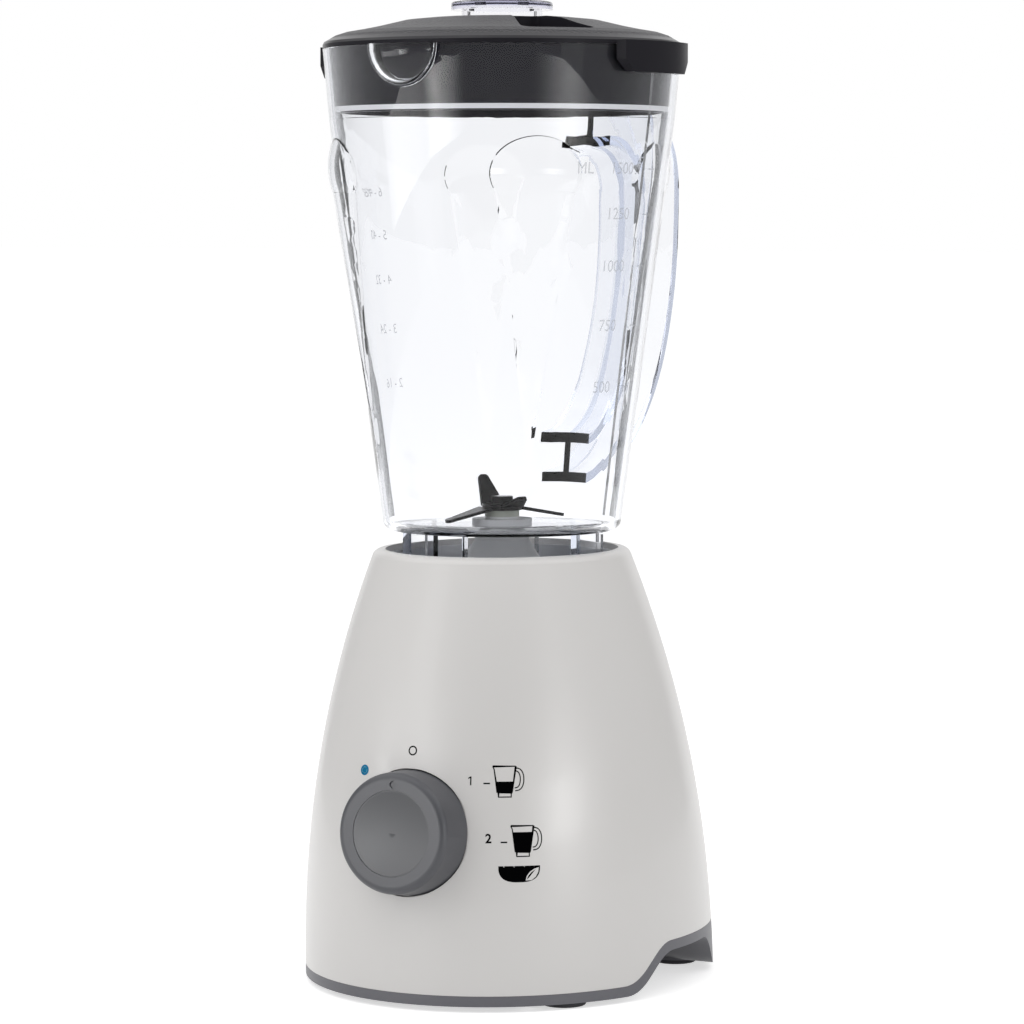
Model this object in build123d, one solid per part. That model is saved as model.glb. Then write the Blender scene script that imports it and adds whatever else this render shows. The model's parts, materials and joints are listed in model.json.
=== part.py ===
from build123d import *
import math
import os

# Countertop blender: a motor base under a white housing, a clear jug with a handle, a dark lid and a clear
# filler cap. Millimetres, +Z up, worktop at z = 0. The front, with the knob and the spout, is -Y and the
# handle is at +Y. Everything is built about the drive axis, and placed once, at the end, so that the origin
# is the middle of the blender's own box on the worktop.

# ------------------------------------------------------------------ driving dimensions
DRIVE_Y = -13.0          # the drive axis lies this far ahead of the origin
JUG_TURN = -6.0          # how far the jug sits turned on the base, degrees about the drive axis

FIT = 0.1                # gap between two pieces that are fixed to each other
RUN = 0.05               # radial gap of a shaft in its bush
GAP = 0.4                # gap between pieces that move past each other

# housing
BASE_TOP = 177.0         # rim of the housing
BASE_WIDTH = 163.6       # across, at the worktop
BASE_DEPTH = 188.6       # front to back, at the worktop
BASE_SETBACK = 8.0       # how far the foot of the housing lies behind the drive axis
RIM_WIDTH = 102.2
RIM_DEPTH = 112.6
WIDTH_CURVE = 2.22       # how late the sides turn inwards on their way up
DEPTH_CURVE = 1.85
SETBACK_CURVE = 1.2
HOUSING_WALL = 2.8
LIP = 4.4                # width of the rounded lip around the well
LIP_HEIGHT = 7.0
LIP_ROUND = 3.8
SECTIONS = 9             # sections that the housing's form is drawn through
BOSS_RADIUS = 10.0       # boss behind the mains inlet
BOSS_STEP = 2.4
TAB = 2.8                # tab that carries the microswitch

# plinth, and its arch at each side
PLINTH_BOTTOM = 2.3
PLINTH_WALL = 3.0
BAND_FRONT = 6.6         # top of the grey band at the front
BAND_BACK = 21.7         # and past the arch
ARCH_TOP = 17.6
ARCH_START = -20.0       # middle of the S where the band rises
ARCH_END = 38.0          # middle of the slope down to the rear leg
ARCH_SLOPE = 14.0        # half the length of each slope
BAND_LEAD = 1.5          # how far the band's top edge rises ahead of the arch
VENT_PITCH = 9.0         # air slots in the middle of the plinth
VENT_WIDTH = 4.0
VENT_START = -4.0
VENT_END = 18.0
VENT_SIDE = 3            # slots on either side of the middle one

# feet
FOOT_RADIUS = 9.0
FOOT_X = 52.0
FOOT_FRONT_Y = -48.0
FOOT_BACK_Y = 58.0
FOOT_ROUND = 1.0
FOOT_PAD = 3.0           # width of the pad around a foot
PAD_PLATE = 1.3          # plinth left above a foot or a screw's head

# deck inside the housing, and the grey well that the jug stands in
WELL_FLOOR = 163.0
WELL_PLATE = 3.0
WELL_WALL = 1.5
WELL_RIM_DROP = 2.5      # top edge of the well below the rim
COLLAR_RADIUS = 11.5
COLLAR_WALL = 2.0
COLLAR_HEIGHT = 3.0
WELL_POST = 5.0          # height of the screw posts above the well's floor
GUIDE_GAP = 0.5          # beside each of the jug's lugs
GUIDE = 2.0
GUIDE_HEIGHT = 6.0
GUIDE_REACH = 4.0        # how far the guides run in past the lugs
DECK = 3.0
DECK_HOLE = 20.0

# drive
SHAFT_RADIUS = 4.0
SHAFT_BOTTOM = 38.0
COUPLING_BOTTOM = 166.6
COUPLING_TOP = 174.0
COUPLING_HUB = 6.5
COUPLING_ARMS = 3        # bars crossed through the hub
ARM_REACH = 8.4
ARM_WIDTH = 4.0
COUPLING_CAP = 2.0       # coupling left over the end of the shaft

# motor
STACK_BOTTOM = 86.0
STACK_HEIGHT = 36.0
STACK_WIDTH = 76.0
STACK_ROUND = 10.0
SLOT_CLEAR = 1.0         # around a coil in the stack
AIR_GAP = 0.5
ARMATURE_SLOTS = 12
ARMATURE_SLOT = 2.4
ARMATURE_RADIUS = 20.8
WINDING_RADIUS = 18.0
WINDING_OVERHANG = 6.0
POLE_HALF = 12.0         # half the width of a pole's neck
COIL_OUT = 23.0
COIL_INNER_X = 23.5
COIL_OUTER_X = 31.0
COIL_OVERHANG = 7.0
COIL_ROUND = 6.0
BRACKET = 4.0
BRACKET_WIDTH = 22.0
ARM_HALF = 5.5           # half the width of the bracket's arms
EAR_IN = 4.0             # legs that stand against the stack, about the bolts
EAR_OUT = 5.0
HOLDER_POST_START = 20.0
HOLDER_POST_END = 36.0
HUB_WALL = 3.0
HUB_DROP = 2.0
BEARING_RADIUS = 11.0
BEARING_HEIGHT = 7.0
LOWER_BRACKET = 56.0
UPPER_BRACKET = 138.0
BOLT_Y = 32.0
BOLT_RADIUS = 2.0
BOLT_HEAD = 3.0
COMMUTATOR_RADIUS = 11.0
COMMUTATOR_HEIGHT = 13.0
COMMUTATOR_BARS = 16
COMMUTATOR_CUT = 0.6
BRUSH_Z = 73.0
BRUSH_SIDE = 6.0
BRUSH_LENGTH = 14.0
BRUSH_GAP = 0.3
BRUSH_SPRING_RADIUS = 2.2
BRUSH_SPRING_WALL = 0.8
HOLDER_SIDE = 9.0
HOLDER_LENGTH = 20.0
HOLDER_GAP = 3.0         # between a holder and the commutator
HOLDER_END_WALL = 1.5
FAN_RADIUS = 34.0
FAN_HEIGHT = 10.0
FAN_BLADES = 9
FAN_PLATE = 1.5
FAN_HUB = 9.0
FAN_BLADE = 1.6
FAN_LIFT = 2.0           # fan above the shaft's lower end
MOUNT_X = 34.0
MOUNT_Y = 30.0
ISOLATOR_RADIUS = 6.0
ISOLATOR_HEIGHT = 6.0
ISOLATOR_SEAT = 2.0      # width of the bracket's pad around an isolator

# screws
SCREW_RADIUS = 1.75
SCREW_HEAD_RADIUS = 3.4
SCREW_HEAD = 2.4
SCREW_DEPTH = 9.0        # thread held in a post
POST_RADIUS = 4.6
PAD_RADIUS = 6.0
POST_INSET = 6.0         # middles of the base screws' posts, in from the housing's foot
POST_TURN = 54.5         # where they stand on that oval
BASE_POST_TOP = 40.0
WELL_SCREW_X = 26.0
WELL_SCREW_Y = 26.0

# speed knob and switch
KNOB_Z = 70.0
KNOB_TILT = 6.0          # the knob's axis looks up a little
KNOB_RADIUS = 25.0
KNOB_FACE_RADIUS = 23.8
KNOB_DEPTH = 17.5
KNOB_ROUND = 3.0
KNOB_SEAT = 4.4          # depth of the flat seat cut in the housing
KNOB_SEAT_RING = 3.0     # backing of the seat beyond the knob
KNOB_SKIN = 5.0          # thickness of the knob's face
KNOB_WALL = 2.6
KNOB_SOCKET_TOP = 7.0    # end of the spindle's socket, below the face
KNOB_STEM = 3.0          # wall around the spindle
KNOB_DISC_RADIUS = 16.9
KNOB_DISC_DEPTH = 1.6
KNOB_DISC_DROP = 0.2     # disc below the face
KNOB_DISH_RADIUS = 130.0
KNOB_DISH_EDGE = 0.4
KNOB_NOTCH = 1.6
KNOB_NOTCH_DEPTH = 0.6
SPINDLE_RADIUS = 3.0
SPINDLE_BUSH = 4.5
SWITCH_WIDTH = 30.0
SWITCH_HEIGHT = 28.0
SWITCH_DEPTH = 20.0
SPINDLE_BORE_START = 40.0  # behind the housing's front

# mains inlet and electrics
INLET_Z = 38.0
INLET_BORE = 4.0
INLET_RADIUS = 7.0
INLET_FLANGE = 9.0
INLET_FLANGE_DEPTH = 3.0
INLET_PROUD = 1.5        # bush past the housing
INLET_BORE_START = 60.0
CAPACITOR = (24.0, 10.0, 15.0)
CAPACITOR_Y = -62.0
CAPACITOR_ROUND = 2.0
TERMINALS = (34.0, 14.0, 12.0)
TERMINALS_Y = 66.0
TERMINAL_X = (-10.0, 0.0, 10.0)
TERMINAL_RADIUS = 2.0
MICROSWITCH = (8.0, 22.0, 14.0)
PLUNGER_RADIUS = 1.2
PLUNGER = 1.0            # plunger above the microswitch's case

# interlock
PIN_RADIUS = 2.5
PIN_TRAVEL = 4.0
PIN_LENGTH = 24.0
PIN_FLANGE = 1.2         # flange beyond the pin
PIN_FLANGE_HEIGHT = 2.0
PIN_HOLE = 1.5           # clearance of the deck's hole around the pin
SPRING_GAP = 0.3

# jug
JUG_BOTTOM = 184.6
JUG_FLOOR = 2.0
JUG_FOOT_RADIUS = 48.5
JUG_SHOULDER = 352.0     # where the cone gives way to the steeper neck
JUG_SHOULDER_RADIUS = 70.5
JUG_TOP = 380.4
JUG_TOP_RADIUS = 73.0
JUG_WALL = 2.4
JUG_CORNER = 4.0
LUG_WIDTH = 18.0
LUG_INNER = 40.0
LUG_OUTER = 44.2
QUARTERS = (0, 90, 180, 270)
RIB_WALL = 2.0
RIB_ANGLES = (45.0, -45.0)        # either side of the spout
BACK_RIB_ANGLES = (140.0, -140.0)  # either side of the handle
RIB_BOTTOM = 202.0
RIB_SPRING = 333.0       # where a rib's round top begins
RIB_RADIUS = 30.0        # there, mostly sunk in the wall
RIB_TIP = 3.0            # and at its lower end
RIB_SINK = 0.8           # how far inside the wall the lower end starts
RIB_DEPTH = 3.6
BACK_RIB_DEPTH = 3.0
SPOUT_DROP = 17.0        # how far the spout reaches down the neck
SPOUT_HALF_WIDTH = 15.8
SPOUT_DEPTH = 8.0
SPOUT_SUNK = 1.5         # how far the spout's middle lies inside the wall
HANDLE_WIDTH = 23.0
HANDLE_FLANGE = 4.0
HANDLE_WEB = 3.0
# middle lines of the handle's two flanges seen from the side, as reach and height, from the neck down
HANDLE_OUTER = (
    (67, 371), (90, 367.5), (106.5, 354.5), (119, 336), (120.5, 316), (119.3, 295),
    (114.5, 270), (106, 247), (89.5, 224), (70, 209.5), (48, 203),
)
HANDLE_INNER = (
    (64, 344), (80, 343), (93.5, 335.5), (100, 319), (100.2, 303),
    (97, 277), (89, 254), (77.5, 235), (64, 224), (48, 219),
)

# blade unit
CARRIER_STEM = 7.0
CARRIER_TOP = 190.0
CARRIER_SHOULDER = 180.5
SKIRT_TOP_RADIUS = 11.2
SKIRT_BOTTOM = 167.0
SKIRT_SLOPE = 0.58       # how much the skirt widens for each millimetre down
SKIRT_WALL = 1.8
RING_NUT_RADIUS = 12.3
RING_NUT = 2.6
CARRIER_SEAL = 1.2
SHAFT_SEAL = 2.4
BUSH_RADIUS = 6.0
BUSH_HEIGHT = 4.0
BLADE_SHAFT_RADIUS = 3.0
BLADE_SHAFT_TOP = 198.5
DOG_RADIUS = 11.0
DOG_TOP = 177.2
DOG_WEB = 2.6
SPACER_RADIUS = 7.1
SPACER = 2.6
BLADE = 1.3
BLADE_HUB = 8.2
BLADE_WIDTH = 11.0
UPPER_BLADE_TURN = 150.0
LOWER_BLADE_TURN = -123.0
BLADE_NUT_RADIUS = 5.0
BLADE_NUT = 3.0
WING_ROOT = 0.6          # how far a wing's root lies inside the hub
WING_TAPER = 0.35        # share of the width lost at the tip's leading side
WING_TIP_ROUND = 0.148   # tip's rounding as a share of the width
BLADE_GAP = 1.0          # between the motor's coupling and the blade shaft
DOG_CLEAR = 1.5          # between the driven dog and the carrier
CIRCLIP = 2.2
CIRCLIP_GAP = 0.3

# lid and filler cap
LID_TOP = 393.0
LID_SKIRT_BOTTOM = 357.0
LID_WALL = 2.2
LID_FLANGE = 2.6
LID_WING_RADIUS = 77.5
LID_WING_DROP = 11.0
LID_WING_HALF = 24.0     # half the width of a wing
LID_WING_CUT = 5.0
LID_SEAL = 2.0
LID_SEAL_LEDGE = 0.6
# the top of the lid from the middle outwards, as radius and depth below its flat
LID_DOME = ((30, 0), (40, 1), (51, 3.6), (58, 5), (64, 6), (68, 7.3))
LID_EDGE = 0.5           # rounding of the lid's edge
LID_CEILING = ((30, 5), (0, 4))  # underside of the top, in the same measures
LID_CORNER_DROP = 16.0   # where the skirt meets the underside of the top
LID_CORNER_IN = 4.0
FILLER_RADIUS = 16.4
FILLER_WALL = 1.8
FILLER_FLANGE_RADIUS = 20.7
FILLER_FLANGE = 3.3
FILLER_TOP = 399.7
FILLER_BOTTOM = 372.0
POCKET_INNER = 23.0      # finger pockets in the lid, on either side of a bridge to one ear
POCKET_OUTER = 64.5
POCKET_START = 21.0      # degrees from the middle of the bridge
POCKET_END = 50.0
POCKET_DEPTH = 10.0
POCKET_WALL = 2.0
POCKET_ROUND = 4.0
FILLER_COLLAR = 2.0      # wall of the lid's collar around the filler cap
FILLER_ROUND = 1.2
FILLER_TOP_WALL = 2.0


# ------------------------------------------------------------------ shared shapes
def cylinder(radius, bottom, top):
    return Pos(0, 0, (bottom + top) / 2) * Cylinder(radius, top - bottom)


def tube(outer, inner, bottom, top):
    return cylinder(outer, bottom, top) - cylinder(inner, bottom - 1, top + 1)


def block(x0, x1, y0, y1, z0, z1):
    return Pos((x0 + x1) / 2, (y0 + y1) / 2, (z0 + z1) / 2) * Box(x1 - x0, y1 - y0, z1 - z0)


def slab(bottom, top):
    return block(-BASE_WIDTH, BASE_WIDTH, -BASE_DEPTH, BASE_DEPTH, bottom, top)


def oval(half_width, half_depth, bottom, top):
    return extrude(Pos(0, 0, bottom) * Ellipse(half_width, half_depth), top - bottom)


def spun(points):
    """A solid of revolution about the drive axis, from its outline in radius and height."""
    return revolve(Plane.XZ * make_face(Polyline(*points, close=True)), Axis.Z)


def screw(head_z, length):
    """A pan-head screw that points up, its head's top face at head_z."""
    head = cylinder(SCREW_HEAD_RADIUS, head_z - SCREW_HEAD, head_z)
    return head + cylinder(SCREW_RADIUS, head_z, head_z + length)


def corners(x, y):
    return [(x, y), (-x, y), (x, -y), (-x, -y)]


def at(places, shape):
    """Copies of a shape, one at each place in plan."""
    return [Pos(x, y, 0) * shape for x, y in places]


def around(angles, shape):
    """Copies of a shape, turned about the drive axis."""
    return [Rot(0, 0, angle) * shape for angle in angles]


def turned(shape):
    """Places a piece that belongs to the jug, which sits turned on the base."""
    return Rot(0, 0, JUG_TURN) * shape


# ------------------------------------------------------------------ housing and plinth
def section(z, inset):
    """The housing's oval at height z, drawn in by inset."""
    share = z / BASE_TOP
    width = BASE_WIDTH - (BASE_WIDTH - RIM_WIDTH) * share**WIDTH_CURVE
    depth = BASE_DEPTH - (BASE_DEPTH - RIM_DEPTH) * share**DEPTH_CURVE
    setback = BASE_SETBACK * (1 - share) ** SETBACK_CURVE
    return Pos(0, setback, z) * Ellipse(width / 2 - inset, depth / 2 - inset)


def base_form(inset):
    return loft([section(BASE_TOP * i / (SECTIONS - 1), inset) for i in range(SECTIONS)])


def front_surface(z):
    """The housing's front, in Y, at height z."""
    share = z / BASE_TOP
    depth = BASE_DEPTH - (BASE_DEPTH - RIM_DEPTH) * share**DEPTH_CURVE
    return BASE_SETBACK * (1 - share) ** SETBACK_CURVE - depth / 2


def back_surface(z):
    share = z / BASE_TOP
    depth = BASE_DEPTH - (BASE_DEPTH - RIM_DEPTH) * share**DEPTH_CURVE
    return BASE_SETBACK * (1 - share) ** SETBACK_CURVE + depth / 2


def slope(y, low, high, way):
    """An S-shaped edge about y, seen from the side: it rises for way = 1 and falls for way = -1."""
    start, end = (low, high) if way > 0 else (high, low)
    near = ARCH_SLOPE / 7
    return Bezier((y - ARCH_SLOPE, start), (y - near, start), (y + near, end), (y + ARCH_SLOPE, end))


def above_band(lift):
    """The space above the band's top edge, raised by lift."""
    low, high = BAND_FRONT + lift, BAND_BACK + lift
    top = 2 * BASE_TOP
    rise = slope(ARCH_START - BAND_LEAD, low, high, 1)
    ends = [rise @ 1, (BASE_DEPTH, high), (BASE_DEPTH, top), (-BASE_DEPTH, top), (-BASE_DEPTH, low), rise @ 0]
    return extrude(Plane.YZ * make_face(rise + Polyline(*ends)), BASE_WIDTH, both=True)


def above_arch(lift):
    """The space above the plinth's underside, raised by lift, which also thins the legs by it."""
    low, high = PLINTH_BOTTOM + lift, ARCH_TOP + lift
    rise = slope(ARCH_START - lift, low, high, 1)
    fall = slope(ARCH_END + lift, low, high, -1)
    top = 2 * BASE_TOP
    ends = [fall @ 1, (BASE_DEPTH, low), (BASE_DEPTH, top), (-BASE_DEPTH, top), (-BASE_DEPTH, low), rise @ 0]
    outline = rise + Line(rise @ 1, fall @ 0) + fall + Polyline(*ends)
    return extrude(Plane.YZ * make_face(outline), BASE_WIDTH, both=True)


OUTSIDE = base_form(0)
INSIDE = base_form(HOUSING_WALL)
RIM_FLAT = BASE_TOP - LIP_HEIGHT
WELL_X = RIM_WIDTH / 2 - LIP
WELL_Y = RIM_DEPTH / 2 - LIP
DECK_TOP = WELL_FLOOR - WELL_PLATE
DECK_BOTTOM = DECK_TOP - DECK
KNOB_FRONT = front_surface(KNOB_Z)
KNOB_AXIS = Vector(0, -1, 0).rotate(Axis.X, -KNOB_TILT)
KNOB_PLANE = Plane((0, KNOB_FRONT, KNOB_Z), x_dir=(1, 0, 0), z_dir=KNOB_AXIS)
PIN_PLACE = Rot(0, 0, JUG_TURN) * Pos((LUG_INNER + LUG_OUTER) / 2, 0, 0)
POST_X = (BASE_WIDTH / 2 - POST_INSET) * math.cos(math.radians(POST_TURN))
POST_Y = (BASE_DEPTH / 2 - POST_INSET) * math.sin(math.radians(POST_TURN))
BASE_SCREWS = [(x, y + BASE_SETBACK) for x, y in corners(POST_X, POST_Y)]
WELL_SCREWS = corners(WELL_SCREW_X, WELL_SCREW_Y)
MOUNTS = corners(MOUNT_X, MOUNT_Y)
FEET = [(x * FOOT_X, y) for x in (1, -1) for y in (FOOT_FRONT_Y, FOOT_BACK_Y)]
MOUNT_PLATE_TOP = UPPER_BRACKET + BRACKET
MICROSWITCH_TOP = WELL_FLOOR - PIN_LENGTH
PAD_TOP = BAND_FRONT - 3 * FIT
PAD_SEAT = PAD_TOP - PAD_PLATE
BOSS_DEPTH = HOUSING_WALL + BOSS_STEP
HANGER_BOTTOM = MOUNT_PLATE_TOP + ISOLATOR_HEIGHT
STACK_TOP = STACK_BOTTOM + STACK_HEIGHT


def knob_space(radius, bottom, top):
    """A round solid on the knob's axis, its ends measured outwards from the housing's front."""
    return KNOB_PLANE * Pos(0, 0, (bottom + top) / 2) * Cylinder(radius, top - bottom)


def along_y(radius, start, end):
    """A round bar at the inlet's height, along Y."""
    return Pos(0, (start + end) / 2, INLET_Z) * Rot(90, 0, 0) * Cylinder(radius, end - start)


def housing_posts():
    """Screw posts that hang inside the housing over the plinth's pads."""
    posts = Part() + at(BASE_SCREWS, cylinder(POST_RADIUS, PAD_TOP + FIT, BASE_POST_TOP))
    low_posts = posts & base_form(PLINTH_WALL + GAP)
    high_posts = posts & base_form(HOUSING_WALL / 2) & above_band(GAP)
    return low_posts + high_posts


def housing():
    opening = oval(WELL_X, WELL_Y, RIM_FLAT - 1, BASE_TOP + 1)
    lip = OUTSIDE & slab(RIM_FLAT, BASE_TOP)
    lip = fillet(lip.edges().group_by(Axis.Z)[-1], LIP_ROUND) - opening
    shell = (OUTSIDE & slab(0, RIM_FLAT)) - INSIDE + lip
    shell += OUTSIDE & knob_space(KNOB_RADIUS + KNOB_SEAT_RING, -KNOB_SEAT - HOUSING_WALL, 2)
    shell -= knob_space(KNOB_RADIUS + GAP, -KNOB_SEAT, KNOB_SEAT)
    deck = base_form(HOUSING_WALL / 2) & slab(DECK_BOTTOM, DECK_TOP)
    hangers = at(MOUNTS, cylinder(POST_RADIUS, HANGER_BOTTOM, DECK_BOTTOM + 1))
    width, depth, height = MICROSWITCH
    tab_x = PIN_PLACE.position.X + width / 2
    tab = block(tab_x, tab_x + TAB, -depth / 2, depth / 2, MICROSWITCH_TOP - height, DECK_BOTTOM + 1)
    back = back_surface(INLET_Z)
    boss = along_y(BOSS_RADIUS, back - BOSS_DEPTH, back) & base_form(HOUSING_WALL / 2)
    body = (shell & above_band(0)) + deck + hangers + tab + boss + housing_posts()
    body -= cylinder(DECK_HOLE, DECK_BOTTOM - 1, DECK_TOP + 1)
    body -= knob_space(SPINDLE_BUSH + FIT, -SPINDLE_BORE_START, 2)
    body -= PIN_PLACE * cylinder(PIN_RADIUS + PIN_HOLE, DECK_BOTTOM - 1, DECK_TOP + 1)
    screw_hole = SCREW_RADIUS + FIT
    body -= at(WELL_SCREWS, cylinder(screw_hole, DECK_BOTTOM - 1, DECK_TOP + 1))
    body -= at(BASE_SCREWS, cylinder(screw_hole, 0, PAD_TOP + SCREW_DEPTH + 1))
    body -= at(MOUNTS, cylinder(screw_hole, MOUNT_PLATE_TOP, HANGER_BOTTOM + SCREW_DEPTH + 1))
    return body - along_y(INLET_RADIUS + FIT, INLET_BORE_START, BASE_DEPTH)


def plinth():
    hollow = base_form(PLINTH_WALL) & above_arch(PLINTH_WALL)
    tray = (OUTSIDE & above_arch(0)) - above_band(-FIT) - hollow
    pads = at(FEET, cylinder(FOOT_RADIUS + FOOT_PAD, PLINTH_BOTTOM, PAD_TOP))
    pads += at(BASE_SCREWS, cylinder(PAD_RADIUS, PLINTH_BOTTOM, PAD_TOP))
    tray += [pad & base_form(PLINTH_WALL / 2) for pad in pads]
    tray -= at(FEET, cylinder(FOOT_RADIUS + FIT, 0, PAD_SEAT))
    tray -= at(BASE_SCREWS, cylinder(SCREW_HEAD_RADIUS + FIT, 0, PAD_SEAT))
    tray -= at(BASE_SCREWS, cylinder(SCREW_RADIUS + FIT, 0, PAD_TOP + 1))
    half = VENT_WIDTH / 2
    vent = block(-half, half, VENT_START, VENT_END, 0, ARCH_TOP + PLINTH_WALL + 1)
    return tray - at([(i * VENT_PITCH, 0) for i in range(-VENT_SIDE, VENT_SIDE + 1)], vent)


def feet():
    foot = cylinder(FOOT_RADIUS, 0, PAD_SEAT - FIT)
    return Part() + at(FEET, fillet(foot.edges().group_by(Axis.Z)[0], FOOT_ROUND))


def base_screws():
    return Part() + at(BASE_SCREWS, screw(PAD_SEAT, PAD_PLATE + SCREW_DEPTH))


def well_liner():
    top = BASE_TOP - WELL_RIM_DROP
    out_x, out_y = WELL_X - FIT, WELL_Y - FIT
    cup = oval(out_x, out_y, DECK_TOP, top) - oval(out_x - WELL_WALL, out_y - WELL_WALL, WELL_FLOOR, top + 1)
    collar_top = WELL_FLOOR + COLLAR_HEIGHT
    cup += cylinder(COLLAR_RADIUS, DECK_TOP, collar_top)
    cup -= cylinder(COLLAR_RADIUS - COLLAR_WALL, DECK_TOP - 1, collar_top + 1)
    cup += at(WELL_SCREWS, cylinder(POST_RADIUS, DECK_TOP, WELL_FLOOR + WELL_POST))
    within = oval(WELL_X - 1, WELL_Y - 1, DECK_TOP, top)
    edge = LUG_WIDTH / 2 + GUIDE_GAP
    for y in (-edge - GUIDE, edge):
        guide = block(LUG_INNER - GUIDE_REACH, LUG_OUTER, y, y + GUIDE, DECK_TOP, WELL_FLOOR + GUIDE_HEIGHT)
        cup += [turned(g) & within for g in around(QUARTERS, guide)]
    cup -= at(WELL_SCREWS, cylinder(SCREW_RADIUS + FIT, DECK_TOP - 1, WELL_FLOOR + WELL_POST - 1))
    return cup - PIN_PLACE * cylinder(PIN_RADIUS + RUN, DECK_TOP - 1, WELL_FLOOR + 1)


def well_screws():
    return Part() + at(WELL_SCREWS, screw(DECK_BOTTOM, DECK + WELL_PLATE + WELL_POST - 2))


# ------------------------------------------------------------------ motor
def bolt_places():
    return [(0, BOLT_Y), (0, -BOLT_Y)]


def field_stack():
    top = STACK_TOP
    half = STACK_WIDTH / 2
    stack = fillet(block(-half, half, -half, half, STACK_BOTTOM, top).edges().filter_by(Axis.Z), STACK_ROUND)
    stack -= cylinder(ARMATURE_RADIUS + AIR_GAP, STACK_BOTTOM - 1, top + 1)
    x0, x1 = COIL_INNER_X - SLOT_CLEAR, COIL_OUTER_X + SLOT_CLEAR
    slot = block(x0, x1, POLE_HALF, COIL_OUT + SLOT_CLEAR, STACK_BOTTOM - 1, top + 1)
    for side in (slot, mirror(slot, Plane.YZ)):
        stack -= [side, mirror(side, Plane.XZ)]
    return stack - at(bolt_places(), cylinder(BOLT_RADIUS + FIT, STACK_BOTTOM - 1, top + 1))


def field_coils():
    low, high = STACK_BOTTOM - COIL_OVERHANG, STACK_TOP + COIL_OVERHANG
    core = POLE_HALF + GAP
    ring = block(COIL_INNER_X, COIL_OUTER_X, -COIL_OUT, COIL_OUT, low, high)
    ring = fillet(ring.edges().filter_by(Axis.X), COIL_ROUND)
    ring -= block(COIL_INNER_X - 1, COIL_OUTER_X + 1, -core, core, STACK_BOTTOM - GAP, STACK_TOP + GAP)
    return Part() + [ring, mirror(ring, Plane.YZ)]


def armature_core():
    core = tube(ARMATURE_RADIUS, SHAFT_RADIUS, STACK_BOTTOM, STACK_TOP)
    half = ARMATURE_SLOT / 2
    slot = block(WINDING_RADIUS, ARMATURE_RADIUS + 1, -half, half, STACK_BOTTOM - 1, STACK_TOP + 1)
    return core - around([360 * i / ARMATURE_SLOTS for i in range(ARMATURE_SLOTS)], slot)


def armature_windings():
    """The ends of the windings, a rounded ring at each end of the core."""
    ends = Part()
    for low, outer in ((STACK_BOTTOM - WINDING_OVERHANG, 0), (STACK_TOP, -1)):
        ring = tube(WINDING_RADIUS, SHAFT_RADIUS, low, low + WINDING_OVERHANG)
        rim = ring.edges().group_by(Axis.Z)[outer].sort_by(SortBy.LENGTH)[-1]
        ends += fillet(rim, WINDING_OVERHANG / 2)
    return ends


def commutator():
    low = BRUSH_Z - COMMUTATOR_HEIGHT / 2
    drum = tube(COMMUTATOR_RADIUS, SHAFT_RADIUS, low, STACK_BOTTOM - WINDING_OVERHANG)
    half = COMMUTATOR_CUT / 2
    cut = block(COMMUTATOR_RADIUS - 1, COMMUTATOR_RADIUS + 1, -half, half, 0, STACK_BOTTOM)
    return drum - around([360 * i / COMMUTATOR_BARS for i in range(COMMUTATOR_BARS)], cut)


def motor_shaft():
    return cylinder(SHAFT_RADIUS, SHAFT_BOTTOM, COUPLING_TOP - COUPLING_CAP)


def cooling_fan():
    low = SHAFT_BOTTOM + FAN_LIFT
    fan = cylinder(FAN_RADIUS, low, low + FAN_PLATE) + cylinder(FAN_HUB, low, low + FAN_HEIGHT)
    half = FAN_BLADE / 2
    vane = block(FAN_HUB - 1, FAN_RADIUS - 1, -half, half, low, low + FAN_HEIGHT)
    fan += around([360 * i / FAN_BLADES for i in range(FAN_BLADES)], vane)
    return fan - cylinder(SHAFT_RADIUS, low - 1, low + FAN_HEIGHT + 1)


def drive_star(reach, width, bottom, top):
    """Crossed bars: the coupling's arms, or with larger sizes the socket that they drive."""
    bar = block(-reach, reach, -width / 2, width / 2, bottom, top)
    bars = around([180 * i / COUPLING_ARMS for i in range(COUPLING_ARMS)], bar)
    return cylinder(COUPLING_HUB + reach - ARM_REACH, bottom, top) + bars


def drive_coupling():
    star = drive_star(ARM_REACH, ARM_WIDTH, COUPLING_BOTTOM, COUPLING_TOP)
    return star - cylinder(SHAFT_RADIUS, COUPLING_BOTTOM - 1, COUPLING_TOP - COUPLING_CAP)


def bearing(bottom):
    return tube(BEARING_RADIUS, SHAFT_RADIUS + RUN, bottom, bottom + BEARING_HEIGHT)


def lower_bearing():
    return bearing(LOWER_BRACKET)


def upper_bearing():
    return bearing(UPPER_BRACKET)


def hub(bottom):
    return cylinder(BEARING_RADIUS + HUB_WALL, bottom - HUB_DROP, bottom + BEARING_HEIGHT)


def bearing_seat(bottom):
    seat = cylinder(BEARING_RADIUS + FIT / 2, bottom, bottom + BEARING_HEIGHT + 1)
    return seat + cylinder(BEARING_RADIUS - HUB_WALL, bottom - HUB_DROP - 1, bottom + 1)


def bracket(low):
    """The bar and hub that both motor brackets share."""
    half, reach = BRACKET_WIDTH / 2, BOLT_Y + EAR_OUT
    return block(-half, half, -reach, reach, low, low + BRACKET) + hub(low)


def bracket_legs(bottom, top):
    """Legs between a bracket and the stack, around the long bolts."""
    half = BRACKET_WIDTH / 2
    leg = block(-half, half, BOLT_Y - EAR_IN, BOLT_Y + EAR_OUT, bottom, top)
    return [leg, mirror(leg, Plane.XZ)]


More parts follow.
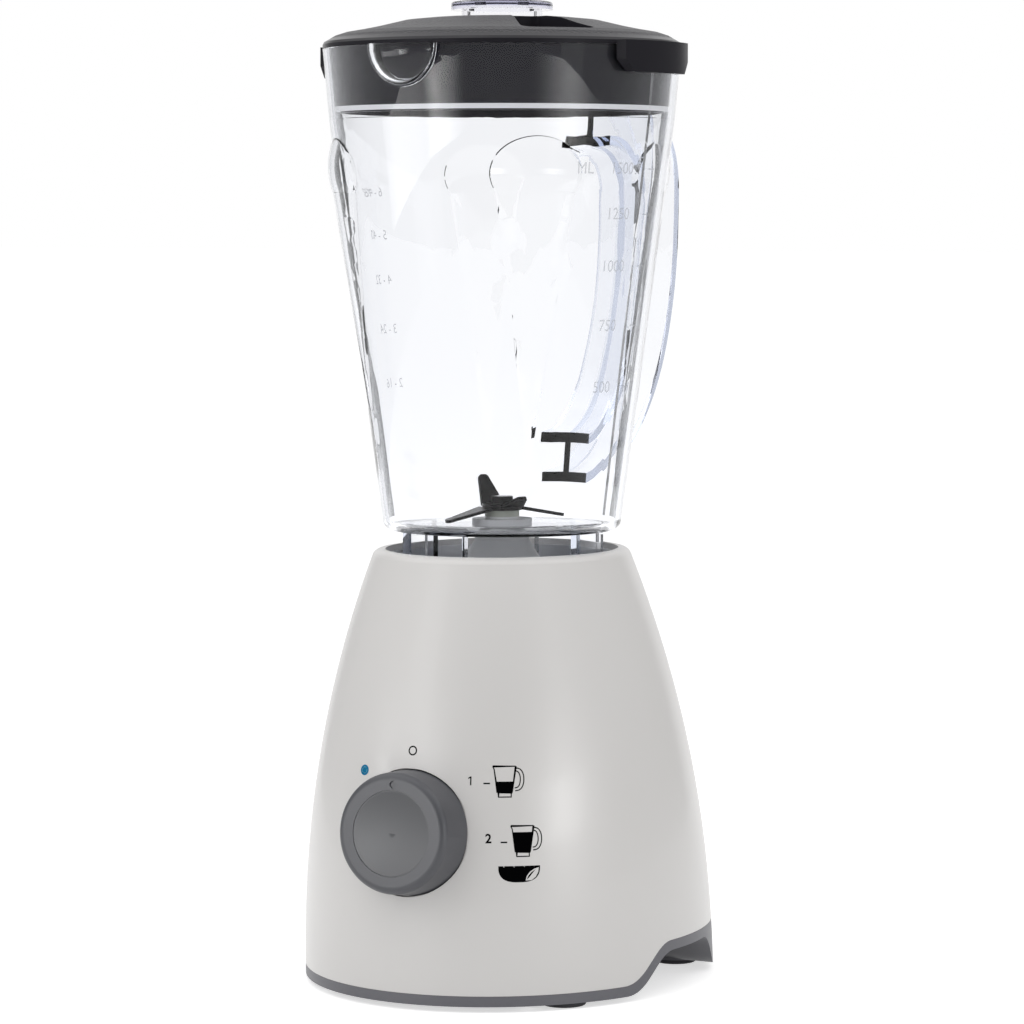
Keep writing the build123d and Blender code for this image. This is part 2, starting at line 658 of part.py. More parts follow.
def lower_bracket():
    low = LOWER_BRACKET
    end = HOLDER_POST_END
    body = bracket(low) + block(-end, end, -ARM_HALF, ARM_HALF, low, low + BRACKET)
    body += bracket_legs(low, STACK_BOTTOM)
    post = block(HOLDER_POST_START, end, -ARM_HALF, ARM_HALF, low, BRUSH_Z - HOLDER_SIDE / 2)
    body += [post, mirror(post, Plane.YZ)]
    body -= bearing_seat(low)
    return body - at(bolt_places(), cylinder(BOLT_RADIUS + FIT, low - 1, STACK_BOTTOM + 1))


def upper_bracket():
    low = UPPER_BRACKET
    reach = math.hypot(MOUNT_X, MOUNT_Y)
    angle = math.degrees(math.atan2(MOUNT_Y, MOUNT_X))
    arm = block(-reach, reach, -ARM_HALF, ARM_HALF, low, low + BRACKET)
    body = bracket(low) + around([angle, 180 - angle], arm)
    body += at(MOUNTS, cylinder(ISOLATOR_RADIUS + ISOLATOR_SEAT, low, low + BRACKET))
    body += bracket_legs(STACK_TOP, low + BRACKET)
    body -= bearing_seat(low)
    body -= at(MOUNTS, cylinder(SCREW_RADIUS + FIT, low - 1, low + BRACKET + 1))
    return body - at(bolt_places(), cylinder(BOLT_RADIUS + FIT, STACK_TOP - 1, low + 1))


def motor_bolts():
    low = LOWER_BRACKET
    head = cylinder(BOLT_RADIUS * 2, low - BOLT_HEAD, low)
    return Part() + at(bolt_places(), cylinder(BOLT_RADIUS, low, UPPER_BRACKET) + head)


def motor_isolators():
    grommet = tube(ISOLATOR_RADIUS, SCREW_RADIUS + FIT, MOUNT_PLATE_TOP, HANGER_BOTTOM)
    return Part() + at(MOUNTS, grommet)


def motor_screws():
    return Part() + at(MOUNTS, screw(UPPER_BRACKET, BRACKET + ISOLATOR_HEIGHT + SCREW_DEPTH - 1))


def along_x(side, start, end, width):
    """A square bar at the brushes' height, from start to end on one side of the commutator."""
    x0, x1 = sorted((side * start, side * end))
    return block(x0, x1, -width / 2, width / 2, BRUSH_Z - width / 2, BRUSH_Z + width / 2)


BRUSH_START = COMMUTATOR_RADIUS + BRUSH_GAP
BRUSH_END = BRUSH_START + BRUSH_LENGTH
HOLDER_START = COMMUTATOR_RADIUS + HOLDER_GAP
HOLDER_END = HOLDER_START + HOLDER_LENGTH
HOLDER_BACK = HOLDER_END - HOLDER_END_WALL


def brush_holders():
    holders = Part()
    for side in (-1, 1):
        case = along_x(side, HOLDER_START, HOLDER_END, HOLDER_SIDE)
        holders += case - along_x(side, HOLDER_START - 1, HOLDER_BACK, BRUSH_SIDE + 2 * FIT)
    return holders


def brushes():
    return Part() + [along_x(side, BRUSH_START, BRUSH_END, BRUSH_SIDE) for side in (-1, 1)]


def brush_springs():
    inner = BRUSH_SPRING_RADIUS - BRUSH_SPRING_WALL
    coil = tube(BRUSH_SPRING_RADIUS, inner, BRUSH_END + FIT, HOLDER_BACK - FIT)
    return Part() + around([0, 180], Pos(0, 0, BRUSH_Z) * Rot(0, 90, 0) * coil)


# ------------------------------------------------------------------ electrics and knob
KNOB_FACE = KNOB_DEPTH - KNOB_SEAT
SOCKET_TOP = KNOB_FACE - KNOB_SOCKET_TOP
SWITCH_FRONT = KNOB_SEAT + HOUSING_WALL + FIT
SWITCH_MIDDLE = SWITCH_FRONT + SWITCH_DEPTH / 2


def rotary_switch():
    case = KNOB_PLANE * Pos(0, 0, -SWITCH_MIDDLE) * Box(SWITCH_WIDTH, SWITCH_HEIGHT, SWITCH_DEPTH)
    neck = knob_space(SPINDLE_BUSH, -SWITCH_FRONT - 1, -KNOB_SEAT - 2 * FIT)
    return case + neck - knob_space(SPINDLE_RADIUS + RUN, -SWITCH_MIDDLE, 2)


def switch_spindle():
    return knob_space(SPINDLE_RADIUS, 1 + FIT - SWITCH_MIDDLE, SOCKET_TOP)


def knob():
    base = -KNOB_SEAT + GAP
    body = Pos(0, 0, (base + KNOB_FACE) / 2) * Cone(KNOB_RADIUS, KNOB_FACE_RADIUS, KNOB_FACE - base)
    body = fillet(body.edges().group_by(Axis.Z)[-1], KNOB_ROUND)
    body -= Pos(0, 0, KNOB_FACE) * Cylinder(KNOB_DISC_RADIUS + FIT, 2 * KNOB_DISC_DEPTH)
    notch_y = KNOB_FACE_RADIUS - KNOB_ROUND - KNOB_NOTCH
    body -= Pos(0, notch_y, KNOB_FACE) * Cylinder(KNOB_NOTCH, 2 * KNOB_NOTCH_DEPTH)
    hollow = cylinder(KNOB_RADIUS - KNOB_WALL, base - 1, KNOB_FACE - KNOB_SKIN)
    hollow -= cylinder(SPINDLE_RADIUS + KNOB_STEM, base - 2, KNOB_FACE)
    return KNOB_PLANE * (body - hollow - cylinder(SPINDLE_RADIUS, base - 1, SOCKET_TOP))


def knob_disc():
    """The dished disc in the knob's face."""
    top = KNOB_FACE - KNOB_DISC_DROP
    disc = cylinder(KNOB_DISC_RADIUS, KNOB_FACE - KNOB_DISC_DEPTH, top)
    dish = KNOB_DISH_RADIUS
    sunk = dish - math.sqrt(dish**2 - (KNOB_DISC_RADIUS - KNOB_DISH_EDGE) ** 2)
    return KNOB_PLANE * (disc - Pos(0, 0, top - sunk + dish) * Sphere(dish))


def inlet_bush():
    """The mains lead's inlet: a flanged bush in the back of the housing."""
    back = back_surface(INLET_Z)
    seat = back - BOSS_DEPTH - FIT
    start = seat - INLET_FLANGE_DEPTH
    bush = along_y(INLET_RADIUS, start, back + INLET_PROUD) + along_y(INLET_FLANGE, start, seat)
    return bush - along_y(INLET_BORE, INLET_BORE_START, BASE_DEPTH)


def on_tray(size, y):
    """A case of the given size on the plinth's floor."""
    width, depth, height = size
    low = PLINTH_BOTTOM + PLINTH_WALL
    return block(-width / 2, width / 2, y - depth / 2, y + depth / 2, low, low + height)


def terminal_block():
    case = on_tray(TERMINALS, TERMINALS_Y)
    top = PLINTH_BOTTOM + PLINTH_WALL + TERMINALS[2]
    well = cylinder(TERMINAL_RADIUS, top - TERMINALS[2] / 2, top + 1)
    return case - at([(x, TERMINALS_Y) for x in TERMINAL_X], well)


def suppression_capacitor():
    return fillet(on_tray(CAPACITOR, CAPACITOR_Y).edges().filter_by(Axis.Z), CAPACITOR_ROUND)


def microswitch():
    width, depth, height = MICROSWITCH
    x, top = PIN_PLACE.position.X, MICROSWITCH_TOP - PLUNGER
    body = block(x - width / 2, x + width / 2 - FIT, -depth / 2, depth / 2, MICROSWITCH_TOP - height, top)
    return body + PIN_PLACE * cylinder(PLUNGER_RADIUS, top - 1, MICROSWITCH_TOP - FIT)


# ------------------------------------------------------------------ jug
def jug_radius(z):
    """The jug's outer radius at height z: a cone, then a steeper neck."""
    if z < JUG_SHOULDER:
        share = (z - JUG_BOTTOM) / (JUG_SHOULDER - JUG_BOTTOM)
        return JUG_FOOT_RADIUS + share * (JUG_SHOULDER_RADIUS - JUG_FOOT_RADIUS)
    share = (z - JUG_SHOULDER) / (JUG_TOP - JUG_SHOULDER)
    return JUG_SHOULDER_RADIUS + share * (JUG_TOP_RADIUS - JUG_SHOULDER_RADIUS)


def rib(depth, shrink):
    """A broad swelling of the wall, round at the top and tapered below; shrunk, the hollow behind it."""
    length = RIB_SPRING - RIB_BOTTOM
    low = jug_radius(RIB_BOTTOM) - RIB_SINK - RIB_TIP
    high = jug_radius(RIB_SPRING) + depth - RIB_RADIUS
    lean = math.degrees(math.atan((high - low) / length))
    taper = Cone(RIB_TIP - shrink, RIB_RADIUS - shrink, length, align=(Align.CENTER, Align.CENTER, Align.MIN))
    drop = taper + Pos(0, 0, length) * Sphere(RIB_RADIUS - shrink)
    return Pos(0, -low, RIB_BOTTOM) * Rot(lean, 0, 0) * drop


def ribs(shrink):
    return around(RIB_ANGLES, rib(RIB_DEPTH, shrink)) + around(BACK_RIB_ANGLES, rib(BACK_RIB_DEPTH, shrink))


def spout(shrink):
    """The pouring lip: half an egg that swells out of the front of the neck."""
    across, out, drop = SPOUT_HALF_WIDTH, SPOUT_DEPTH + SPOUT_SUNK, SPOUT_DROP
    egg = scale(Sphere(1), by=(across - shrink, out - shrink, drop - shrink))
    return Pos(0, SPOUT_SUNK - JUG_TOP_RADIUS, JUG_TOP) * egg


def jug_inside():
    floor = JUG_BOTTOM + JUG_FLOOR
    wall = JUG_WALL
    hollow = spun([
        (0, floor),
        (jug_radius(floor) - wall, floor),
        (JUG_SHOULDER_RADIUS - wall, JUG_SHOULDER),
        (JUG_TOP_RADIUS - wall, JUG_TOP),
        (JUG_TOP_RADIUS - wall, JUG_TOP + 5),
        (0, JUG_TOP + 5),
    ])
    return fillet(hollow.edges().group_by(Axis.Z)[0], JUG_CORNER - JUG_FLOOR / 2)


def side_band(centre, width):
    """A band of even width along a line of points: the section of a flange seen from the side."""
    curve = Spline(*centre)
    count = 2 * len(centre)
    left, right = [], []
    for i in range(count + 1):
        point, along = curve @ (i / count), curve % (i / count)
        across = Vector(-along.Y, along.X) * (width / 2)
        left.append(point + across)
        right.append(point - across)
    edge = Spline(*left) + Line(left[-1], right[-1]) + Spline(*reversed(right)) + Line(right[0], left[0])
    return make_face(edge)


def handle():
    outer, inner = HANDLE_OUTER, HANDLE_INNER
    flanges = side_band(outer, HANDLE_FLANGE) + side_band(inner, HANDLE_FLANGE)
    edge = Spline(*outer) + Line(outer[-1], inner[-1]) + Spline(*reversed(inner)) + Line(inner[0], outer[0])
    body = extrude(Plane.YZ * flanges, HANDLE_WIDTH / 2, both=True)
    return body + extrude(Plane.YZ * make_face(edge), HANDLE_WEB / 2, both=True)


def jug():
    wall = spun([
        (0, JUG_BOTTOM),
        (JUG_FOOT_RADIUS, JUG_BOTTOM),
        (JUG_SHOULDER_RADIUS, JUG_SHOULDER),
        (JUG_TOP_RADIUS, JUG_TOP),
        (0, JUG_TOP),
    ])
    wall = fillet(wall.edges().group_by(Axis.Z)[0], JUG_CORNER)
    outside = wall + handle() + ribs(0) + (spout(0) & slab(0, JUG_TOP))
    half = LUG_WIDTH / 2
    lug = block(LUG_INNER - 2, LUG_OUTER + 2, -half, half, WELL_FLOOR + GAP / 2, JUG_BOTTOM + 1)
    lug = lug & tube(LUG_OUTER, LUG_INNER, WELL_FLOOR, JUG_BOTTOM + 1)
    outside += around(QUARTERS, lug)
    inside = jug_inside() + ribs(RIB_WALL) + spout(JUG_WALL)
    return turned(outside - inside - cylinder(CARRIER_STEM + FIT, JUG_BOTTOM - 1, JUG_BOTTOM + JUG_FLOOR + 1))


# ------------------------------------------------------------------ blade unit
SEAL_BOTTOM = JUG_BOTTOM - CARRIER_SEAL
NUT_BOTTOM = JUG_BOTTOM + JUG_FLOOR
SPACER_BOTTOM = CARRIER_TOP + FIT
LOWER_BLADE = SPACER_BOTTOM + SPACER
UPPER_BLADE = LOWER_BLADE + BLADE
CAVITY_TOP = DOG_TOP + DOG_CLEAR
SEAL_LOW = CARRIER_TOP - SHAFT_SEAL


def skirt_radius(z):
    return SKIRT_TOP_RADIUS + (CARRIER_SHOULDER - z) * SKIRT_SLOPE


def blade_carrier():
    body = spun([
        (0, SKIRT_BOTTOM),
        (skirt_radius(SKIRT_BOTTOM), SKIRT_BOTTOM),
        (SKIRT_TOP_RADIUS, CARRIER_SHOULDER),
        (SKIRT_TOP_RADIUS, SEAL_BOTTOM),
        (CARRIER_STEM, SEAL_BOTTOM),
        (CARRIER_STEM, CARRIER_TOP),
        (0, CARRIER_TOP),
    ])
    cavity = spun([
        (0, SKIRT_BOTTOM - 1),
        (skirt_radius(SKIRT_BOTTOM - 1) - SKIRT_WALL, SKIRT_BOTTOM - 1),
        (skirt_radius(CAVITY_TOP) - SKIRT_WALL, CAVITY_TOP),
        (0, CAVITY_TOP),
    ])
    return body - cavity - cylinder(BUSH_RADIUS + FIT / 2, CAVITY_TOP - 1, CARRIER_TOP + 1)


def carrier_seal():
    return tube(SKIRT_TOP_RADIUS, CARRIER_STEM + FIT, SEAL_BOTTOM, JUG_BOTTOM)


def ring_nut():
    return tube(RING_NUT_RADIUS, CARRIER_STEM + FIT, NUT_BOTTOM, NUT_BOTTOM + RING_NUT)


def bushes():
    lower = tube(BUSH_RADIUS, BLADE_SHAFT_RADIUS + RUN, CAVITY_TOP, CAVITY_TOP + BUSH_HEIGHT)
    return lower + Pos(0, 0, SEAL_LOW - FIT - BUSH_HEIGHT - CAVITY_TOP) * lower


def shaft_seal():
    return tube(BUSH_RADIUS, BLADE_SHAFT_RADIUS + RUN, SEAL_LOW, CARRIER_TOP - FIT)


def blade_shaft():
    return cylinder(BLADE_SHAFT_RADIUS, COUPLING_TOP + BLADE_GAP, BLADE_SHAFT_TOP)


def driven_dog():
    socket_top = DOG_TOP - DOG_WEB
    cup = cylinder(DOG_RADIUS, COUPLING_BOTTOM + 1, DOG_TOP)
    cup -= drive_star(ARM_REACH + GAP, ARM_WIDTH + 2 * GAP, COUPLING_BOTTOM, socket_top)
    return cup - cylinder(BLADE_SHAFT_RADIUS, socket_top - 1, DOG_TOP + 1)


def circlip():
    return tube(BLADE_SHAFT_RADIUS + CIRCLIP, BLADE_SHAFT_RADIUS, DOG_TOP + FIT, CAVITY_TOP - CIRCLIP_GAP)


def blade_spacer():
    return tube(SPACER_RADIUS, BLADE_SHAFT_RADIUS, SPACER_BOTTOM, LOWER_BLADE)


def wing(length, tilt):
    """One wing of a blade, bent by tilt degrees where it leaves the hub, and narrowed towards its tip."""
    half = BLADE_WIDTH / 2
    lead, trail = BLADE_WIDTH * WING_TAPER, BLADE_WIDTH * WING_TAPER * 0.8
    outline = Polyline((0, -half), (length, lead - half), (length, half - trail), (0, half), close=True)
    tip = make_face(outline).vertices().sort_by(Axis.X)[-2:]
    wing_face = fillet(tip, BLADE_WIDTH * WING_TIP_ROUND)
    return Pos(BLADE_HUB - WING_ROOT, 0, 0) * Rot(0, -tilt, 0) * extrude(wing_face, BLADE)


def blade(bottom, turn, tilts, lengths):
    body = cylinder(BLADE_HUB, 0, BLADE)
    for i in (0, 1):
        body += Rot(0, 0, 180 * i) * wing(lengths[i], tilts[i])
    return Pos(0, 0, bottom) * Rot(0, 0, turn) * (body - cylinder(BLADE_SHAFT_RADIUS, -30, 30))


def lower_blade():
    return blade(LOWER_BLADE, LOWER_BLADE_TURN, (-14.0, -10.0), (19.0, 22.0))


def upper_blade():
    return blade(UPPER_BLADE, UPPER_BLADE_TURN, (58.0, 26.0), (14.0, 8.5))


def blade_nut():
    low = UPPER_BLADE + BLADE
    hexagon = extrude(Pos(0, 0, low) * RegularPolygon(BLADE_NUT_RADIUS, 6), BLADE_NUT)
    return hexagon - cylinder(BLADE_SHAFT_RADIUS, low - 1, low + BLADE_NUT + 1)


# ------------------------------------------------------------------ lid and filler cap
FILLER_HOLE = FILLER_RADIUS + GAP
FILLER_COLLAR_RADIUS = FILLER_HOLE + FILLER_COLLAR
LID_LEDGE = JUG_TOP + FIT
SKIRT_TOP = JUG_TOP_RADIUS - JUG_WALL - GAP
SKIRT_LOW = jug_radius(LID_SKIRT_BOTTOM) - JUG_WALL - GAP
SKIRT_INSIDE = SKIRT_LOW - LID_WALL


def lid_wings():
    """Two ears past the jug's rim, with cut lower corners, one on each side of it."""
    brim_top = LID_LEDGE + LID_FLANGE - 1
    ear = tube(LID_WING_RADIUS, JUG_TOP_RADIUS + GAP, LID_LEDGE - LID_WING_DROP, brim_top)
    ear += tube(LID_WING_RADIUS, JUG_TOP_RADIUS - 2, LID_LEDGE, brim_top)
    half, low = LID_WING_HALF, LID_LEDGE - LID_WING_DROP
    cut = [(half, low + LID_WING_CUT), (half - LID_WING_CUT, low)]
    outline = [(half, LID_TOP)] + cut + [(-y, z) for y, z in reversed(cut)] + [(-half, LID_TOP)]
    front = extrude(Plane.YZ * make_face(Polyline(*outline, close=True)), 2 * LID_WING_RADIUS)
    return around([0, 180], ear & front)


def pocket_plan():
    """The outline of one finger pocket, seen from above: a stretch of a ring with rounded corners."""
    ends = []
    for angle in (math.radians(POCKET_START), math.radians(POCKET_END)):
        ends.append((2 * POCKET_OUTER * math.cos(angle), 2 * POCKET_OUTER * math.sin(angle)))
    ring = Circle(POCKET_OUTER) - Circle(POCKET_INNER)
    plan = ring & make_face(Polyline((0, 0), *ends, close=True))
    return fillet(plan.vertices(), POCKET_ROUND)


def lid():
    neck, brim = JUG_TOP_RADIUS, LID_LEDGE + LID_FLANGE
    dome = [(radius, LID_TOP - drop) for radius, drop in LID_DOME]
    edge = [(neck - LID_EDGE, brim), (neck, brim - 2 * LID_EDGE), (neck, LID_LEDGE)]
    skirt = [(SKIRT_TOP, LID_LEDGE), (SKIRT_LOW, LID_SKIRT_BOTTOM), (0, LID_SKIRT_BOTTOM)]
    corner = LID_TOP - LID_CORNER_DROP
    ceiling = [(SKIRT_INSIDE - LID_CORNER_IN, corner + LID_CORNER_IN)]
    ceiling += [(radius, LID_TOP - drop) for radius, drop in LID_CEILING]
    whole = spun([(0, LID_TOP)] + dome + edge + skirt)
    body = whole - spun([(0, 0), (SKIRT_INSIDE, 0), (SKIRT_INSIDE, corner)] + ceiling)
    seal_ledge = LID_SKIRT_BOTTOM - LID_SEAL - LID_SEAL_LEDGE
    body += tube(SKIRT_INSIDE, SKIRT_INSIDE - 2 + FIT, seal_ledge, LID_SKIRT_BOTTOM + 3)
    body += lid_wings()
    body += tube(FILLER_COLLAR_RADIUS, FILLER_HOLE, FILLER_BOTTOM, LID_TOP - 2)
    body -= cylinder(FILLER_HOLE, 0, LID_TOP + 5)
    floor = LID_TOP - POCKET_DEPTH
    plan = pocket_plan()
    tub = Pos(0, 0, floor - LID_WALL) * extrude(offset(plan, POCKET_WALL), 2 * POCKET_DEPTH) & whole
    pocket = Pos(0, 0, floor) * extrude(plan, 2 * POCKET_DEPTH)
    body += [tub, mirror(tub, Plane.XZ)]
    return turned(body - [pocket, mirror(pocket, Plane.XZ)])


def lid_seal():
    inner = SKIRT_INSIDE + FIT
    return tube(inner + LID_WALL - FIT, inner, LID_SKIRT_BOTTOM - LID_SEAL, LID_SKIRT_BOTTOM - FIT / 2)


def filler_cap():
    low = FILLER_TOP - FILLER_FLANGE
    body = cylinder(FILLER_FLANGE_RADIUS, low, FILLER_TOP)
    body = fillet(body.edges().group_by(Axis.Z)[-1], FILLER_ROUND)
    body += cylinder(FILLER_RADIUS, FILLER_BOTTOM, low)
    body -= cylinder(FILLER_RADIUS - FILLER_WALL, FILLER_BOTTOM - 1, FILLER_TOP - FILLER_TOP_WALL)
    return turned(body)


# ------------------------------------------------------------------ interlock
PIN_STOP = DECK_BOTTOM - PIN_TRAVEL - FIT
SPRING_TOP = PIN_STOP - PIN_FLANGE_HEIGHT


def interlock_pin():
    top = WELL_FLOOR + GAP / 4
    pin = cylinder(PIN_RADIUS, top - PIN_LENGTH, top)
    return PIN_PLACE * (pin + cylinder(PIN_RADIUS + PIN_FLANGE, SPRING_TOP, PIN_STOP))


def interlock_spring():
    seat = MICROSWITCH_TOP - PLUNGER + FIT
    return PIN_PLACE * tube(PIN_RADIUS + PIN_FLANGE, PIN_RADIUS + SPRING_GAP, seat, SPRING_TOP)


PIECES = {
    "housing": housing, "plinth": plinth, "feet": feet, "base_screws": base_screws, "well_liner": well_liner,
    "well_screws": well_screws, "field_stack": field_stack, "field_coils": field_coils,
    "lower_bracket": lower_bracket, "upper_bracket": upper_bracket, "lower_bearing": lower_bearing,
    "upper_bearing": upper_bearing, "motor_bolts": motor_bolts, "motor_isolators": motor_isolators,
    "motor_screws": motor_screws, "brush_holders": brush_holders, "brushes": brushes,
    "brush_springs": brush_springs, "rotary_switch": rotary_switch, "inlet_bush": inlet_bush,
    "terminal_block": terminal_block, "suppression_capacitor": suppression_capacitor,
    "microswitch": microswitch, "motor_shaft": motor_shaft, "armature_core": armature_core,
    "armature_windings": armature_windings, "commutator": commutator, "cooling_fan": cooling_fan,
    "drive_coupling": drive_coupling, "switch_spindle": switch_spindle, "knob": knob, "knob_disc": knob_disc,
    "interlock_pin": interlock_pin, "interlock_spring": interlock_spring, "jug": jug,
    "blade_carrier": blade_carrier, "carrier_seal": carrier_seal, "ring_nut": ring_nut, "bushes": bushes,
    "shaft_seal": shaft_seal, "blade_shaft": blade_shaft, "driven_dog": driven_dog, "circlip": circlip,
    "blade_spacer": blade_spacer, "lower_blade": lower_blade, "upper_blade": upper_blade,
    "blade_nut": blade_nut, "lid": lid, "lid_seal": lid_seal, "filler_cap": filler_cap,
}

os.makedirs("parts", exist_ok=True)
for name, make in PIECES.items():
    export_step(Pos(0, DRIVE_Y, 0) * make(), f"parts/{name}.step")
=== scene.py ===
import json
import math

import bmesh
import bpy
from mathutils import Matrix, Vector
from mathutils.bvhtree import BVHTree


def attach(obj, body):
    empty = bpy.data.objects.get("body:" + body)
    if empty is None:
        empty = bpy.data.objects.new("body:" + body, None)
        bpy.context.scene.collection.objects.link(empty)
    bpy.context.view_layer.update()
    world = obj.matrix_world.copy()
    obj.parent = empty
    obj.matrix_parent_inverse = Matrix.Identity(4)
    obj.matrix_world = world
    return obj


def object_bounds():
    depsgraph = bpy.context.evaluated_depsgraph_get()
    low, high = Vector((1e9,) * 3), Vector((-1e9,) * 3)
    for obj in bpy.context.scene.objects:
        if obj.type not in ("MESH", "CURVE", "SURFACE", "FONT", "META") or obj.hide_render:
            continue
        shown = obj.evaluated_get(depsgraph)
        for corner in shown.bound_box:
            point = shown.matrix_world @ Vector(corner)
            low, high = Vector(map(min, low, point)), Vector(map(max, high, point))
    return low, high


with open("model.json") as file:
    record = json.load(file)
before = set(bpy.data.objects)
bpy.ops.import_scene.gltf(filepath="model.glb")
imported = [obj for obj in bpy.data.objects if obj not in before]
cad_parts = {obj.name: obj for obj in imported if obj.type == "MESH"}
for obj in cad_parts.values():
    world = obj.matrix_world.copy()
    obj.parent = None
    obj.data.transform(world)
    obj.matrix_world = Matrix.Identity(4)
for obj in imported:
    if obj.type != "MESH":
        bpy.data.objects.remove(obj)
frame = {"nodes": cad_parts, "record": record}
cad_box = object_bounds()
nodes = frame["nodes"]
MM = 0.001


def joint_place(name):
    return next(Vector(j["pos_m"]) for j in frame["record"]["behaviour"]["joints"] if j["name"] == name)


DRIVE = joint_place("blade_spin")
DRIVE.z = 0.0
WORKTOP = cad_box[0].z

# lid
SPARK_INNER = 33 * MM         # the textured ring on top
SPARK_OUTER = 70 * MM
SPARK_FADE = 1 * MM
SPARK_GRAIN = 900.0
SPARK_DEPTH = 0.6 * MM

# clear plastic
CLEAR_INDEX = 1.49
CLEAR_SHEEN = 0.3             # of the reflection that index gives

# camera, with azimuths counted from the front of the blender
CAMERA_AZIMUTH = 27.0
CAMERA_DISTANCE = 1671 * MM
CAMERA_HEIGHT = 313.6 * MM
CAMERA_TILT = 4.17851         # degrees down
CAMERA_TURN = 0.14047         # degrees to the right of the drive axis
LENS = 143.4
SENSOR = 36.0

# studio, in metres, with azimuths counted from the camera's side
SKY_LIGHT = 0.55
FLOOR_SIDE = 60.0
FLOOR_GLOW = 0.6
LAMP_AIM = 0.2                # height the lamps look at
LAMPS = (                     # name, azimuth, elevation, distance, side, watts
    ("key", -75, 45, 2.6, 3.0, 21),
    ("fill", 80, 40, 2.6, 2.4, 11.5),
    ("top", 10, 80, 1.8, 1.8, 6),
)
EDGE_ANGLE = 17               # of the edge strips from the line of sight
EDGE_SPAN = 10
EDGE_DISTANCE = 1.6
WALL_HEIGHT = 0.9
WALL_DISTANCE = 1.2
WALL_FACET = 6                # degrees, about
WALLS = (("front", -42, 37, 0.01), ("left", -150, -64, 0.3), ("right", 52, 140, 0.25))  # from, to, tone
GLOW_DISTANCE = 1.0
GLOW_LOW = 0.12               # heights of the bright panels that shine in the jug's rim
GLOW_HIGH = 0.25
GLOW_STEPS = 24
GLOWS = {                     # azimuth and tone
    "glow_left": ((-84, 2), (-76, 7), (-56, 7), (-50, 5), (-43, 22), (-38, 14), (-26, 1), (-22, 0)),
    "glow_right": ((20, 0), (28, 2.5), (43, 11), (48, 9), (60, 2), (72, 0)),
}

# marks: azimuths in degrees, bare lengths in millimetres
MARK_LIFT = 0.05 * MM
MARK_FACET = 1.5 * MM         # longer edges of a mark are halved, so that it bends with its surface
OUTSIDE = 0.2                 # metres from the drive axis, clear of every piece
PEN = 0.42
DIAL_RADIUS = 32.0 * MM       # of the marks around the knob
DIAL = {"pulse": -45, "off": 0, "one": 48.6, "two": 92.5}    # degrees clockwise from the knob's top
HOUSING_FRONT = 74.5 * MM
DASHES = (("one", 22.6, 90.2), ("two", 27.5, 67.3))                     # azimuth, height
JUG_SIGNS = (("half", 0.42, 27.8, 90.8), ("full", 0.76, 32.8, 67.6))    # level, azimuth, height
BOWL_AZIMUTH = 31.7
BOWL_HEIGHT = 54.8
SPOUT = -6.0                  # azimuth; the jug's marks count from it
VOLUMES = (("500", 244.3), ("750", 269.0), ("1000", 292.7), ("1250", 313.5), ("1500", 331.5))
VOLUME_TURN = 78
VOLUME_DASH_TURN = 95
VOLUME_UNIT_TURN = 62
VOLUME_SIZE = 6.6
SCALE = (("2 - 16", 243.0), ("3 - 24", 265.5), ("4 - 32", 286.0), ("5 - 40", 304.5), ("6 - 48", 322.5))
SCALE_TURN = -90
SCALE_SIZE = 5.6


# ------------------------------------------------------------------ materials
def linear(value):
    """A screen value of 0 to 255 as the linear number a shader takes."""
    share = value / 255
    return share / 12.92 if share <= 0.04045 else ((share + 0.055) / 1.055) ** 2.4


def colour(red, green, blue):
    return (linear(red), linear(green), linear(blue), 1.0)


def new_material(name):
    material = bpy.data.materials.new(name)
    material.use_nodes = True
    return material, material.node_tree, material.node_tree.nodes["Principled BSDF"]


def add(tree, kind, **values):
    """A node of that kind, with its inputs set by name and its properties by attribute."""
    node = tree.nodes.new(kind)
    for key, value in values.items():
        if key in node.inputs:
            node.inputs[key].default_value = value
        else:
            setattr(node, key, value)
    return node


def grain(tree, shader, scale, strength, depth):
    """A fine bump from noise measured on the object."""
    place = add(tree, "ShaderNodeTexCoord")
    noise = add(tree, "ShaderNodeTexNoise", Scale=scale, Detail=2.0, Roughness=0.6)
    bump = add(tree, "ShaderNodeBump", Strength=strength, Distance=depth)
    tree.links.new(place.outputs["Object"], noise.inputs["Vector"])
    tree.links.new(noise.outputs["Fac"], bump.inputs["Height"])
    tree.links.new(bump.outputs["Normal"], shader.inputs["Normal"])
    return bump


def mottle(tree, shader, base, spread, scale):
    """Slow, slight changes of tone."""
    place = add(tree, "ShaderNodeTexCoord")
    noise = add(tree, "ShaderNodeTexNoise", Scale=scale, Detail=3.0)
    ramp = add(tree, "ShaderNodeValToRGB")
    for stop, share in zip(ramp.color_ramp.elements, (1 - spread, 1 + spread)):
        stop.color = tuple(min(1.0, c * share) for c in base[:3]) + (1.0,)
    tree.links.new(place.outputs["Object"], noise.inputs["Vector"])
    tree.links.new(noise.outputs["Fac"], ramp.inputs["Fac"])
    tree.links.new(ramp.outputs["Color"], shader.inputs["Base Color"])


def plastic(name, base, roughness, bump=0.15, grain_scale=900.0, spread=0.03, coat=0.0):
    material, tree, shader = new_material(name)
    shader.inputs["Roughness"].default_value = roughness
    shader.inputs["Coat Weight"].default_value = coat
    shader.inputs["Coat Roughness"].default_value = 0.06
    mottle(tree, shader, base, spread, 14.0)
    grain(tree, shader, grain_scale, bump, 0.05 * MM)
    return material


